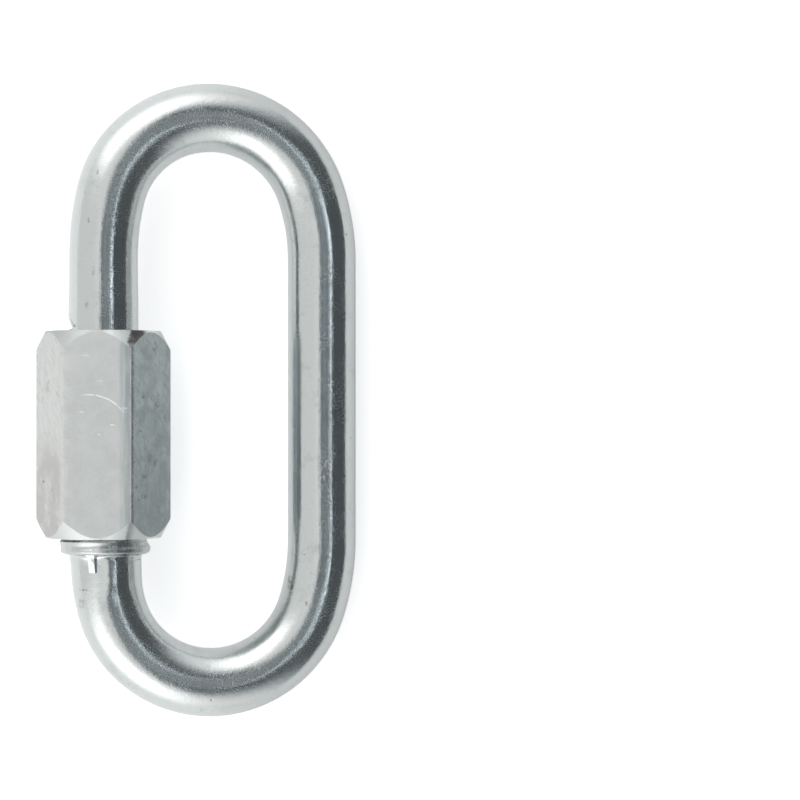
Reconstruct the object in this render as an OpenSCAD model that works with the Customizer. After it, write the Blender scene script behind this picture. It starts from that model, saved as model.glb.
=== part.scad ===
// Chain quick link: a round steel bar bent into a long eye, with a gate in one side
// that a long hex nut closes. The nut screws up the side to open the gate.
// Modelled lying on a table: +Y runs along the eye, +Z is up, and the link rests on
// one flat of the nut and on the plain side of the bar.

/* [Bar] */
// Diameter of the round bar
bar_d = 8; // [6:0.5:10]
// Inside length of the eye, from bow to bow
eye_length = 58; // [52:1:70]
// Inside width of the eye, from side to side
eye_width = 17.5; // [15:0.5:24]
// Centreline radius of the long, shallow curve between a straight side and a bow
shoulder_r = 28; // [20:1:40]
// Angle that this shallow curve turns through
shoulder_angle = 16; // [8:1:24]
// How much thinner the bar's radius is in the shoulders, where bending draws it down
bend_draw = 0.02; // [0.01:0.01:0.05]

/* [Gate and thread] */
// Clear gap between the two ends of the bar, with the nut run back
gate_gap = 10; // [8:0.5:14]
// Advance of the nut in one turn
thread_pitch = 1.25; // [1:0.25:1.5]
// Turns of the nut that grip the lower end when the gate is shut
grip_turns = 3; // [2:1:4]
// Rise of the thread's mean diameter above the bar, all round
thread_rise = 0.85; // [0.6:0.05:1.2]
// Radial play between the thread and the nut
thread_play = 0.1; // [0.05:0.01:0.2]
// Bevel on the two ends of the bar
end_bevel = 0.6; // [0.3:0.1:1]
// Length of the slope from the upper thread down to the bar
run_out = 0.35; // [0.2:0.05:0.8]

/* [Stop collar] */
// Rise of the collar that stops the nut above the bar, all round
collar_rise = 1.2; // [1:0.05:1.6]
// Length of the collar along the bar
collar_length = 1.75; // [1.2:0.05:2.5]
// How far the collar sits past the end of the straight side
collar_overrun = 1.35; // [0.5:0.05:2]
// Break on the collar's two edges
collar_edge = 0.35; // [0.2:0.05:0.6]
// Gap between the shut nut and the collar
seat_gap = 0.1; // [0.05:0.05:0.3]
// Rise of the swollen neck below the collar, where it meets the bar
neck_rise = 0.22; // [0.1:0.02:0.3]
// Length of the swollen neck below the collar
neck_length = 2.4; // [1.5:0.1:4]

/* [Forging marks] */
// Width of the flash fin that the dies left below the collar
fin_width = 1; // [0.4:0.1:1.2]
// Length of the fin along the bar
fin_length = 2.3; // [1:0.1:3]
// Angle of the fin round the bar, from the top towards the outer side
fin_angle = 18; // [0:1:60]
// Depth of the nick that the dies left above the upper thread, at its lower end
nick_depth = 0.6; // [0.3:0.05:0.8]
// Depth of the nick at its upper end
nick_step = 0.2; // [0.1:0.05:0.25]
// Length of the nick along the bar
nick_length = 0.9; // [0.6:0.1:1.6]
// Angle of the nick round the bar, from the top towards the outer side
nick_angle = 84; // [40:1:90]

/* [Nut] */
// Length of the nut
nut_length = 24; // [20:0.5:28]
// Wall of the nut at the middle of a flat
nut_wall = 1.85; // [1.5:0.05:3]
// Length of the cone that trims the corners at each end
corner_cone = 2.2; // [1.5:0.1:3]
// How far inside the flats that cone starts on the end face
cone_inset = 0.05; // [0.02:0.01:0.2]
// Trim that blunts the six long edges
edge_trim = 0.05; // [0.02:0.01:0.1]
// Countersink at each mouth of the nut
mouth_bevel = 0.6; // [0.3:0.1:1]

/* [Hidden] */
$fn = 96;

zinc_bar = [0.74, 0.76, 0.78];
zinc_nut = [0.80, 0.81, 0.81];

bar_r = bar_d / 2;
drawn_r = bar_r - bend_draw;
// How far the full bar runs into a shoulder before it is drawn down
lap = 0.25;
// Distance between the centrelines of the two sides
side_spacing = eye_width + bar_d;
// The bow is a three-centred arch: a shoulder, a crown and a shoulder
crown_r = shoulder_r - (shoulder_r - side_spacing / 2) / cos(shoulder_angle);
crown_lift = (shoulder_r - crown_r) * sin(shoulder_angle);
bow_height = crown_lift + crown_r;
// Half length of the straight sides
straight_half = (eye_length + bar_d) / 2 - bow_height;

thread_r = bar_r + thread_rise;
collar_r = bar_r + collar_rise;
neck_r = bar_r + neck_rise;
bore_r = thread_r + thread_play;

// Places along the bar, measured from the middle of the eye
collar_low = -straight_half - collar_overrun;
collar_high = collar_low + collar_length;
nut_low = collar_high + seat_gap;
nut_high = nut_low + nut_length;
lower_end = nut_low + grip_turns * thread_pitch;
upper_end = lower_end + gate_gap;
thread_high = nut_high + seat_gap;
nick_low = thread_high + run_out;

nut_flat_r = bore_r + nut_wall;
nut_sharp_r = nut_flat_r / cos(30);
nut_corner_r = nut_sharp_r - edge_trim;

// On the table the nut lies on a flat, and the bar leans until its far side touches
lean = asin((nut_flat_r - bar_r) / side_spacing);
far_side_x = side_spacing * cos(lean);
nut_x = (nut_corner_r - far_side_x - bar_r) / 2;

// Turns a shape that was made along Z to run along Y
module along_y() {
    rotate([-90, 0, 0]) children();
}

// A length of straight bar at x, from y = low to y = high
module straight_bar(x, low, high) {
    translate([x, low, 0]) along_y() cylinder(r = bar_r, h = high - low);
}

// A bent length of bar: a part ring of the given centreline radius
module bent_bar(centre, radius, thickness_r, from_angle, turn) {
    translate(centre) rotate([0, 0, from_angle])
        rotate_extrude(angle = turn) translate([radius, 0]) circle(r = thickness_r);
}

// The bow at the +Y end, between the gate side at x = 0 and the far side
module bow() {
    crown_start = shoulder_angle - lap / crown_r * 180 / PI;
    crown_centre = [side_spacing / 2, straight_half + crown_lift, 0];
    bent_bar(crown_centre, crown_r, bar_r, crown_start, 180 - 2 * crown_start);
    bent_bar([side_spacing - shoulder_r, straight_half, 0], shoulder_r, drawn_r, 0, shoulder_angle);
    bent_bar([shoulder_r, straight_half, 0], shoulder_r, drawn_r, 180 - shoulder_angle, shoulder_angle);
}

// The long thread that carries the nut, with its bevelled end at the gate
module upper_thread() {
    along_y() rotate_extrude() polygon([
        [0, upper_end],
        [thread_r - end_bevel, upper_end],
        [thread_r, upper_end + end_bevel],
        [thread_r, thread_high],
        [bar_r - thread_play, thread_high + run_out],
        [0, thread_high + run_out],
    ]);
}

// The short thread that the nut closes on, the collar that stops it and the swollen neck
module lower_thread() {
    along_y() rotate_extrude() polygon([
        [0, lower_end],
        [thread_r - end_bevel, lower_end],
        [thread_r, lower_end - end_bevel],
        [thread_r, collar_high],
        [collar_r - collar_edge, collar_high],
        [collar_r, collar_high - collar_edge],
        [collar_r, collar_low + collar_edge],
        [collar_r - collar_edge, collar_low],
        [neck_r, collar_low],
        [bar_r - 2 * neck_rise, collar_low - neck_length],
        [0, collar_low - neck_length],
    ]);
}

// Places a die mark: its outline is drawn along the bar and out from its axis
module die_mark(angle, width) {
    rotate([0, -angle, 0]) rotate([0, -90, 0])
        translate([0, 0, -width / 2]) linear_extrude(height = width) children();
}

// The flash fin: a thin wedge that falls from the collar to the bar
module flash_fin() {
    die_mark(fin_angle, fin_width) polygon([
        [bar_r - collar_edge, collar_low + collar_edge],
        [collar_r - collar_edge, collar_low + collar_edge],
        [neck_r + neck_rise, collar_low - fin_length],
        [bar_r - collar_edge, collar_low - fin_length],
    ]);
}

// The nick: a flat bite out of the bar that is deepest at the upper thread
module nick() {
    die_mark(nick_angle, bar_d) polygon([
        [bar_r - nick_depth, nick_low],
        [bar_r + nick_depth, nick_low],
        [bar_r + nick_depth, nick_low + nick_length],
        [bar_r - nick_step, nick_low + nick_length],
    ]);
}

// The bar, in the plane of the eye, with the gate side on the Y axis
module bent_eye() {
    difference() {
        union() {
            bow();
            mirror([0, 1, 0]) bow();
            straight_bar(side_spacing, -straight_half - lap, straight_half + lap);
            straight_bar(0, thread_high, straight_half + lap);
            upper_thread();
            lower_thread();
            flash_fin();
        }
        nick();
    }
}

module link_body() {
    color(zinc_bar)
        translate([nut_x, 0, nut_flat_r]) rotate([0, lean, 0]) bent_eye();
}

// The nut's outside: a hexagon whose corners are coned at both ends and blunted
module nut_blank() {
    intersection() {
        translate([0, 0, nut_low]) cylinder(r = nut_sharp_r, h = nut_length, $fn = 6);
        rotate_extrude() polygon([
            [0, nut_low],
            [nut_flat_r - cone_inset, nut_low],
            [nut_corner_r, nut_low + corner_cone],
            [nut_corner_r, nut_high - corner_cone],
            [nut_flat_r - cone_inset, nut_high],
            [0, nut_high],
        ]);
    }
}

// The nut's inside: the bore at the thread's mean diameter, countersunk at both mouths
module nut_bore() {
    mouth_r = bore_r + mouth_bevel;
    rotate_extrude() polygon([
        [0, nut_low - mouth_bevel],
        [mouth_r + mouth_bevel, nut_low - mouth_bevel],
        [bore_r, nut_low + mouth_bevel],
        [bore_r, nut_high - mouth_bevel],
        [mouth_r + mouth_bevel, nut_high + mouth_bevel],
        [0, nut_high + mouth_bevel],
    ]);
}

module hex_nut() {
    color(zinc_nut)
        translate([nut_x, 0, nut_flat_r]) along_y() difference() {
            nut_blank();
            nut_bore();
        }
}

link_body();
hex_nut();
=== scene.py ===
import math

import bpy
from mathutils import Matrix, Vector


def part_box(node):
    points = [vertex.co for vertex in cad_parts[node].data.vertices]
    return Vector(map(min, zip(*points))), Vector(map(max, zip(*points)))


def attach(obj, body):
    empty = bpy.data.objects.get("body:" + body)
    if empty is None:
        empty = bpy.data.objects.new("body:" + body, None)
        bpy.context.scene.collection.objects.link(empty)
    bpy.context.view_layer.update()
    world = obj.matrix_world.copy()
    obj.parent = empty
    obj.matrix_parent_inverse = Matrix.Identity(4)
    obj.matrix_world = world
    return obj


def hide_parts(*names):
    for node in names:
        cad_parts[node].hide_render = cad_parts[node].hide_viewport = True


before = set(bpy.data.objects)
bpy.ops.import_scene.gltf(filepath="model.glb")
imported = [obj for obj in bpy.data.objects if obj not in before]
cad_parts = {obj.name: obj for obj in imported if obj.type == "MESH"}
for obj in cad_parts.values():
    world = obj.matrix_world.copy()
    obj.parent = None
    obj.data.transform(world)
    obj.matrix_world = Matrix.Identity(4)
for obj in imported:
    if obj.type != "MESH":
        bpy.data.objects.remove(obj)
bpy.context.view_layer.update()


# The view. The link lies flat, and the camera looks straight down on it from about a
# forearm's length, so the nut's left flank shows narrower than its right one.
MM = 0.001
PHOTO_PIXELS = 800
PIXELS_PER_MM = 8.585
EYE_ABOVE_NUT = 320 * MM
VIEW_CENTRE_X = 23.78 * MM
SENSOR_MM = 36
CLIP_NEAR, CLIP_FAR = 10 * MM, 20
nut_low_corner, nut_high_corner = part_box("hex_nut")
nut_axis_x = (nut_low_corner[0] + nut_high_corner[0]) / 2
nut_axis_z = (nut_low_corner[2] + nut_high_corner[2]) / 2
bpy.ops.object.select_all(action="DESELECT")
bpy.ops.object.camera_add(location=(VIEW_CENTRE_X, 0, nut_axis_z + EYE_ABOVE_NUT), rotation=(0, 0, 0))
camera = bpy.context.object
camera.name = "view_from_above"
camera.data.sensor_width = SENSOR_MM
camera.data.lens = SENSOR_MM * PIXELS_PER_MM * (EYE_ABOVE_NUT / MM) / PHOTO_PIXELS
camera.data.clip_start = CLIP_NEAR
camera.data.clip_end = CLIP_FAR
bpy.context.scene.camera = camera
bpy.context.scene.view_settings.view_transform = "Standard"


# The table. A sheet of plain white board, lit softly from all round. It shows white to
# the eye and in the metal, a little dimmer to the right, and keeps the link's shadow.
BOARD_SIZE = 3.0
BOARD_WHITE = (0.86, 0.86, 0.86, 1)
GLOW_TO_EYE, GLOW_IN_METAL = 0.62, 0.36
DIM_FROM, DIM_TO, DIM_SHARE = -4 * MM, 18 * MM, 0.4


def add_node(tree, kind, inputs=None, **settings):
    """Adds a shader node, sets its properties, and sets or links its inputs."""
    node = tree.nodes.new("ShaderNode" + kind)
    for name, value in settings.items():
        setattr(node, name, value)
    for socket, value in (inputs or {}).items():
        if isinstance(value, bpy.types.NodeSocket):
            tree.links.new(value, node.inputs[socket])
        else:
            node.inputs[socket].default_value = value
    return node


def calc(tree, operation, first, second=0.0, clamp=False):
    """One step of arithmetic on sockets or plain numbers."""
    return add_node(tree, "Math", {0: first, 1: second}, operation=operation, use_clamp=clamp).outputs[0]


def ramp(tree, value, low, high, to_low=0.0, to_high=1.0):
    """Eases from to_low to to_high while value goes from low to high."""
    sockets = {"Value": value, "From Min": low, "From Max": high, "To Min": to_low, "To Max": to_high}
    return add_node(tree, "MapRange", sockets, interpolation_type="SMOOTHSTEP").outputs["Result"]


def new_paint(name):
    """A new material with nothing in it yet, and its node tree."""
    paint = bpy.data.materials.new(name)
    paint.use_nodes = True
    paint.node_tree.nodes.clear()
    return paint, paint.node_tree


bpy.ops.object.select_all(action="DESELECT")
bpy.ops.mesh.primitive_grid_add(x_subdivisions=2, y_subdivisions=2, size=BOARD_SIZE, location=(0, 0, 0))
board = bpy.context.object
board.name = "white_board"
board_paint, tree = new_paint("white_board")
ray = add_node(tree, "LightPath")
across_board = add_node(tree, "SeparateXYZ", {0: add_node(tree, "TexCoord").outputs["Object"]}).outputs[0]
to_eye = calc(tree, "MULTIPLY", ray.outputs["Is Camera Ray"], GLOW_TO_EYE)
mirrored = calc(tree, "ADD", ray.outputs["Is Glossy Ray"], ray.outputs["Is Transmission Ray"], clamp=True)
in_metal = calc(tree, "MULTIPLY", mirrored,
                ramp(tree, across_board, DIM_FROM, DIM_TO, GLOW_IN_METAL, GLOW_IN_METAL * DIM_SHARE))
glow = add_node(tree, "Emission", {"Strength": calc(tree, "ADD", to_eye, in_metal)})
matt = add_node(tree, "BsdfDiffuse", {"Color": BOARD_WHITE})
white = add_node(tree, "AddShader", {0: matt.outputs[0], 1: glow.outputs[0]})
add_node(tree, "OutputMaterial", {"Surface": white.outputs[0]})
board.data.materials.append(board_paint)


# The light tent. White cloth all round with a lamp behind it at each left-hand corner. A hole
# for the camera is cut in its top, its right side is left open, and daylight shows in two thin
# slits, along the opening under a short strap and round the hole, and in a pale seam.
CLOTH_LEVEL, LAMP_LEVEL, ROOM_LEVEL, HOLE_LEVEL = 0.86, 1.2, 0.11, 0.25
SLIT_LEVEL, SEAM_LEVEL = 4.4, 0.28
CLOTH_TINT = (1.0, 1.0, 0.985, 1)
ROOM_TINT = (0.9, 1.0, 1.06, 1)
# Places on it are directions seen from the link: angles from its right, or shares of 1 to the
# right, along the link and up.
LAMP_STARTS, LAMP_FULL, LAMP_FADES, LAMP_ENDS = (math.radians(angle) for angle in (70, 108, 136, 158))
LAMP_TOP_FADES, LAMP_TOP = 0.70, 0.92
LAMP_LOW, LAMP_LOW_FULL, LAMP_LOW_SHARE = 0.0, 0.42, 0.2
NEAR_LAMP_TURNED = math.radians(10)
NEAR_TO_FAR = (-0.1, 0.1)
PALE_FROM, PALE_TO, PALE_LEVEL = -0.5, -0.15, 0.12
OPEN_FROM, OPEN_FULL = -0.10, -0.04
OPEN_ALONG, OPEN_ENDS, OPEN_WIDENS = 0.33, 0.86, 0.35
HOLE_X, HOLE_R, HOLE_SOFT = 0.24, 0.29, 0.08
SLIT_HALF = 0.018
OUTER_SLIT_X, OUTER_SLIT_R, OUTER_SLIT_FADES, OUTER_SLIT_ENDS = 0.08, 0.47, 0.20, 0.36
INNER_SLIT_R, INNER_SLIT_SHARE = 0.235, 0.75
INNER_SLIT_FROM, INNER_SLIT_FULL, INNER_SLIT_FADES, INNER_SLIT_ENDS = 0.17, 0.28, 0.40, 0.47
SEAM_X, SEAM_WIDTH, SEAM_FADES, SEAM_ENDS = 0.2, 0.035, 0.1, 0.2
STRAP_STARTS, STRAP_FULL, STRAP_FADES, STRAP_ENDS, STRAP_SHARE = -0.065, -0.05, 0.008, 0.028, 0.22


def blend(tree, share, first, second):
    """Mixes two colours, from the first alone at 0 to the second alone at 1."""
    return add_node(tree, "Mix", {0: share, 6: first, 7: second}, data_type="RGBA").outputs[2]


def scaled(tree, value, *factors):
    """The value times each of the factors."""
    for factor in factors:
        value = calc(tree, "MULTIPLY", value, factor)
    return value


def total(tree, *values):
    """The sum of the values."""
    result = values[0]
    for value in values[1:]:
        result = calc(tree, "ADD", result, value)
    return result


def near(tree, value, middle, reach, full_share=0.4):
    """1 at the middle and over the full share of the reach, easing to 0 at the reach on either side."""
    off = calc(tree, "ABSOLUTE", calc(tree, "SUBTRACT", value, middle))
    return ramp(tree, off, reach * full_share, reach, 1.0, 0.0)


def distance(tree, x, y, middle_x, middle_y):
    """How far a point lies from a middle, in their plane."""
    x_squared = calc(tree, "POWER", calc(tree, "SUBTRACT", x, middle_x), 2.0)
    y_squared = calc(tree, "POWER", calc(tree, "SUBTRACT", y, middle_y), 2.0)
    return calc(tree, "SQRT", calc(tree, "ADD", x_squared, y_squared))


world = bpy.data.worlds.new("light_tent")
bpy.context.scene.world = world
world.use_nodes = True
tree = world.node_tree
tree.nodes.clear()
towards = add_node(tree, "SeparateXYZ", {0: add_node(tree, "TexCoord").outputs["Generated"]})
right, along, up = towards.outputs
away = calc(tree, "ABSOLUTE", along)
turned_left = ramp(tree, along, *NEAR_TO_FAR, -NEAR_LAMP_TURNED, 0.0)
round_from_right = calc(tree, "ADD", calc(tree, "ARCTAN2", away, right), turned_left)
lamps = calc(tree, "MULTIPLY", ramp(tree, round_from_right, LAMP_STARTS, LAMP_FULL),
             ramp(tree, round_from_right, LAMP_FADES, LAMP_ENDS, 1.0, 0.0))
lamps = scaled(tree, lamps, ramp(tree, up, LAMP_TOP_FADES, LAMP_TOP, LAMP_LEVEL, 0.0),
               ramp(tree, up, LAMP_LOW, LAMP_LOW_FULL, LAMP_LOW_SHARE, 1.0))
cloth = calc(tree, "ADD", calc(tree, "ADD", lamps, CLOTH_LEVEL),
             ramp(tree, right, PALE_FROM, PALE_TO, 0.0, PALE_LEVEL))
widening = calc(tree, "MULTIPLY", calc(tree, "MAXIMUM", right, 0.0), OPEN_WIDENS)
opening = calc(tree, "MULTIPLY", ramp(tree, right, OPEN_FROM, OPEN_FULL),
               ramp(tree, calc(tree, "SUBTRACT", away, widening), OPEN_ALONG, OPEN_ENDS, 1.0, 0.0))
from_hole = distance(tree, right, along, HOLE_X, 0.0)
from_opening = distance(tree, right, along, OUTER_SLIT_X, 0.0)
outer_slit = scaled(tree, near(tree, from_opening, OUTER_SLIT_R, SLIT_HALF),
                    ramp(tree, right, INNER_SLIT_FADES, INNER_SLIT_ENDS),
                    ramp(tree, away, OUTER_SLIT_FADES, OUTER_SLIT_ENDS, SLIT_LEVEL, 0.0))
strap = scaled(tree, ramp(tree, along, STRAP_STARTS, STRAP_FULL),
               ramp(tree, along, STRAP_FADES, STRAP_ENDS, 1.0, 0.0))
outer_slit = scaled(tree, outer_slit, ramp(tree, strap, 0.0, 1.0, 1.0, STRAP_SHARE))
inner_slit = scaled(tree, near(tree, from_hole, INNER_SLIT_R, SLIT_HALF),
                    ramp(tree, right, INNER_SLIT_FROM, INNER_SLIT_FULL),
                    ramp(tree, right, INNER_SLIT_FADES, INNER_SLIT_ENDS,
                         SLIT_LEVEL * INNER_SLIT_SHARE, 0.0))
seam = scaled(tree, near(tree, right, SEAM_X, SEAM_WIDTH), ramp(tree, along, STRAP_FULL, STRAP_ENDS),
              ramp(tree, away, SEAM_FADES, SEAM_ENDS, SEAM_LEVEL, 0.0))
room = total(tree, ramp(tree, from_hole, HOLE_R, HOLE_R + HOLE_SOFT, HOLE_LEVEL, ROOM_LEVEL),
             outer_slit, inner_slit, seam)
level = calc(tree, "ADD", calc(tree, "MULTIPLY", room, opening),
             calc(tree, "MULTIPLY", cloth, calc(tree, "SUBTRACT", 1.0, opening)))
tint = blend(tree, opening, CLOTH_TINT, ROOM_TINT)
light = add_node(tree, "Background", {"Color": tint, "Strength": level})
add_node(tree, "OutputWorld", {"Surface": light.outputs[0]})


# The bar. Round steel drawn to 8 mm, its ends upset and threaded, bent round two bows
# until the ends face each other across the gate, then zinc plated. It is drawn out here
# from the upper end, ring by ring, and the thread is cut by moving the rings' points.
ROUND = 96
BAR_R = 4.0 * MM
SIDE_SPACING = 25.5 * MM
SHOULDER_R = 28 * MM
SHOULDER_TURN = math.radians(16)
HALF_LENGTH = 33 * MM
crown_r = SHOULDER_R - (SHOULDER_R - SIDE_SPACING / 2) / math.cos(SHOULDER_TURN)
crown_lift = (SHOULDER_R - crown_r) * math.sin(SHOULDER_TURN)
straight_half = HALF_LENGTH - crown_lift - crown_r
UPPER_END, LOWER_END = -2.24 * MM, -12.24 * MM
UPPER_THREAD_TOP, RUN_OUT = 7.55 * MM, 0.45 * MM
CREST_R, ROOT_R, END_R = 5.17 * MM, 4.55 * MM, 4.25 * MM
END_SLOPE = 1.3
PITCH = 1.25 * MM
# Where the groove starts, in turns, and half its crest's and root's width, in pitches
GROOVE_PHASE = 0.514
CREST_HALF, ROOT_HALF = 0.07, 0.1
GROOVE_FADES_AT = (-17.6 * MM, -15.4 * MM)
RINGS_PER_MM = 12
SHANK_SWELL, SHANK_SWELL_FROM, SHANK_SWELL_TO = 0.07 * MM, 10 * MM, 16 * MM

bpy.ops.object.select_all(action="DESELECT")
bpy.ops.mesh.primitive_circle_add(vertices=ROUND, radius=END_R, fill_type="NGON",
                                  location=(0, UPPER_END, 0), rotation=(math.pi / 2, 0, 0))
bar = bpy.context.object
bar.name = "bent_bar"
bpy.ops.object.transform_apply(location=True, rotation=True, scale=True)
bpy.ops.object.mode_set(mode="EDIT")
bpy.ops.mesh.select_mode(type="EDGE")
bpy.ops.mesh.select_all(action="SELECT")
bpy.ops.mesh.region_to_loop()


def ease(value, low, high):
    """0 up to low, 1 from high on, and a smooth step between."""
    t = min(max((value - low) / (high - low), 0), 1)
    return t * t * (3 - 2 * t)


def draw_out(stations):
    """Draws the rim on from each (y, radius) station to the next, the first being where it is."""
    for (y_from, r_from), (y_to, r_to) in zip(stations, stations[1:]):
        bpy.ops.mesh.extrude_edges_move(TRANSFORM_OT_translate={"value": (0, y_to - y_from, 0)})
        bpy.ops.transform.resize(value=(r_to / r_from, 1, r_to / r_from), center_override=(0, y_to, 0))


def bend(steps, turn, centre_x, centre_y):
    """Spins the rim on round a bow's centre, in the plane of the eye."""
    bpy.ops.mesh.spin(steps=steps, angle=turn, center=(centre_x, centre_y, 0), axis=(0, 0, 1))


def even_rings(y_from, y_to, radius, per_mm=RINGS_PER_MM):
    """Evenly spaced stations of one radius, without the first."""
    count = int(abs(y_to - y_from) / MM * per_mm)
    return [(y_from + (y_to - y_from) * i / count, radius) for i in range(1, count + 1)]


SLOPE_RINGS = 6
SHANK_START, SHANK_FINE_TO, SHANK_RINGS_PER_MM = UPPER_THREAD_TOP + RUN_OUT, 8.6 * MM, 1.3
shank_r = BAR_R + SHANK_SWELL
slope = [(UPPER_THREAD_TOP + RUN_OUT * i / SLOPE_RINGS, CREST_R + (shank_r - CREST_R) * i / SLOPE_RINGS)
         for i in range(1, SLOPE_RINGS + 1)]
shank = [(y, BAR_R + SHANK_SWELL * (1 - ease(y, SHANK_SWELL_FROM, SHANK_SWELL_TO)))
         for y, r in even_rings(SHANK_FINE_TO, straight_half, BAR_R, SHANK_RINGS_PER_MM)]
draw_out([(UPPER_END, END_R)] + even_rings(UPPER_END, UPPER_THREAD_TOP, CREST_R) + slope
         + even_rings(SHANK_START, SHANK_FINE_TO, shank_r) + shank)
SHOULDER_STEPS, CROWN_STEPS, LAST_STEPS = 8, 48, 22
LAST_BEND = 0.7
NECK_START = -18.6 * MM
crown_turn = math.pi - 2 * SHOULDER_TURN
bend(SHOULDER_STEPS, SHOULDER_TURN, SHOULDER_R, straight_half)
bend(CROWN_STEPS, crown_turn, SIDE_SPACING / 2, straight_half + crown_lift)
bend(SHOULDER_STEPS, SHOULDER_TURN, SIDE_SPACING - SHOULDER_R, straight_half)
bpy.ops.mesh.extrude_edges_move(TRANSFORM_OT_translate={"value": (0, -2 * straight_half, 0)})
bend(SHOULDER_STEPS, SHOULDER_TURN, SIDE_SPACING - SHOULDER_R, -straight_half)
bend(CROWN_STEPS, crown_turn, SIDE_SPACING / 2, -straight_half - crown_lift)
bend(LAST_STEPS, SHOULDER_TURN * LAST_BEND, SHOULDER_R, -straight_half)
turn_left = SHOULDER_TURN * (1 - LAST_BEND)
neck_x = SHOULDER_R * (1 - math.cos(turn_left))
neck_y = -straight_half - SHOULDER_R * math.sin(turn_left)
bpy.ops.mesh.extrude_edges_move(TRANSFORM_OT_translate={"value": (-neck_x, NECK_START - neck_y, 0)})
bpy.ops.transform.rotate(value=turn_left, orient_axis="Z", center_override=(0, NECK_START, 0))

# The collar is the thread's run-out: a hollow neck, a round lip, and the last turn of the groove.
# Neck and lip stand a little off the bar's middle, and a soft ridge runs down the neck.
COLLAR_LOW, COLLAR_R, COLLAR_TOP = -17.84 * MM, 5.24 * MM, -16.4 * MM
COLLAR_OFF_CENTRE = 0.22 * MM
NECK_STATIONS = ((-18.4, 4.02), (-18.25, 4.06), (-18.12, 4.12), (-18.0, 4.22), (-17.93, 4.33),
                 (-17.88, 4.46), (-17.85, 4.6))
LIP_STATIONS = ((-17.84, 4.76), (-17.81, 4.9), (-17.75, 5.04), (-17.66, 5.14), (-17.54, 5.21),
                (-17.4, 5.24))
NECK_SWELL, NECK_SWELL_FROM, NECK_SWELL_TO = 0.03, 18.3 * MM, 22.5 * MM
RIDGE, RIDGE_ANGLE, RIDGE_LEFT, RIDGE_RIGHT = 0.07, math.radians(15), math.radians(20), math.radians(35)
RIDGE_STARTS, RIDGE_FULL, RIDGE_FADES, RIDGE_ENDS = 17.9 * MM, 18.5 * MM, 20.5 * MM, 24 * MM
SAME_POINT = 0.001 * MM
neck = [(NECK_START, BAR_R)] + [(y * MM, r * MM) for y, r in NECK_STATIONS + LIP_STATIONS]
draw_out(neck + even_rings(neck[-1][0], COLLAR_TOP, COLLAR_R) + even_rings(COLLAR_TOP, LOWER_END, CREST_R))
bpy.ops.mesh.edge_face_add()
bpy.ops.mesh.select_all(action="SELECT")
bpy.ops.mesh.remove_doubles(threshold=SAME_POINT)
bpy.ops.mesh.normals_make_consistent(inside=False)
bpy.ops.object.mode_set(mode="OBJECT")


def groove_cut(x, y, z, fades_at=None):
    """How deep the thread's groove is at a point, from 0 on the crest to 1 at the root. It is a
    right-hand groove with sloped walls. Where fades_at is given, it softens and fades out there."""
    turns = math.atan2(x, z) / (2 * math.pi) + GROOVE_PHASE
    nearest = round(y / PITCH - turns)
    off_middle = abs(y / PITCH - turns - nearest)
    wall_start = 0.5 - CREST_HALF
    depth = min(max((wall_start - off_middle) / (wall_start - ROOT_HALF), 0), 1)
    if fades_at:
        kept = ease((turns + nearest) * PITCH, *fades_at)
        rounded = 0.5 + 0.5 * math.cos(2 * math.pi * off_middle)
        depth = kept * (kept * depth + (1 - kept) * rounded)
    return depth


THREAD_DEPTH = CREST_R - ROOT_R
CENTRED_FROM, CENTRED_TO = -16.7 * MM, -16.2 * MM
for v in bar.data.vertices:
    x, y, z = v.co
    r = math.hypot(x, z)
    on_gate_side = x < SIDE_SPACING / 2
    if not on_gate_side or r < END_R / 2:
        continue
    if UPPER_END <= y <= SHANK_START:
        # The upper thread, bevelled at the gate and sloped down to the bar
        cut_r = CREST_R - THREAD_DEPTH * groove_cut(x, y, z)
        least_r = shank_r if y > UPPER_THREAD_TOP else 0
        new_r = max(min(r, cut_r, END_R + (y - UPPER_END) * END_SLOPE), least_r)
        v.co.x, v.co.z = x * new_r / r, z * new_r / r
    elif COLLAR_LOW <= y < LOWER_END + PITCH:
        # The lower thread, bevelled at the gate and fading out on the collar
        cut_r = r - THREAD_DEPTH * groove_cut(x, y, z, GROOVE_FADES_AT)
        new_r = min(cut_r, END_R + (LOWER_END - y) * END_SLOPE)
        off_centre = COLLAR_OFF_CENTRE * (1 - ease(y, CENTRED_FROM, CENTRED_TO))
        v.co.x, v.co.z = x * new_r / r + off_centre, z * new_r / r
    elif -RIDGE_ENDS < y < COLLAR_LOW:
        # The swollen neck and its ridge, round the middle of the bent bar
        bar_middle = 0
        if y < NECK_START:
            bar_middle = SHOULDER_R - math.sqrt(SHOULDER_R ** 2 - (y + straight_half) ** 2)
        off_ridge = math.atan2(x - bar_middle, z) - RIDGE_ANGLE
        off_ridge /= RIDGE_RIGHT if off_ridge > 0 else RIDGE_LEFT
        ridge = RIDGE * ease(-y, RIDGE_STARTS, RIDGE_FULL) * (1 - ease(-y, RIDGE_FADES, RIDGE_ENDS))
        swollen = 1 - ease(-y, NECK_SWELL_FROM, NECK_SWELL_TO)
        swell = 1 + NECK_SWELL * swollen + ridge * math.exp(-off_ridge ** 2)
        off_centre = COLLAR_OFF_CENTRE * swollen
        v.co.x, v.co.z = bar_middle + (x - bar_middle) * swell + off_centre, z * swell


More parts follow.
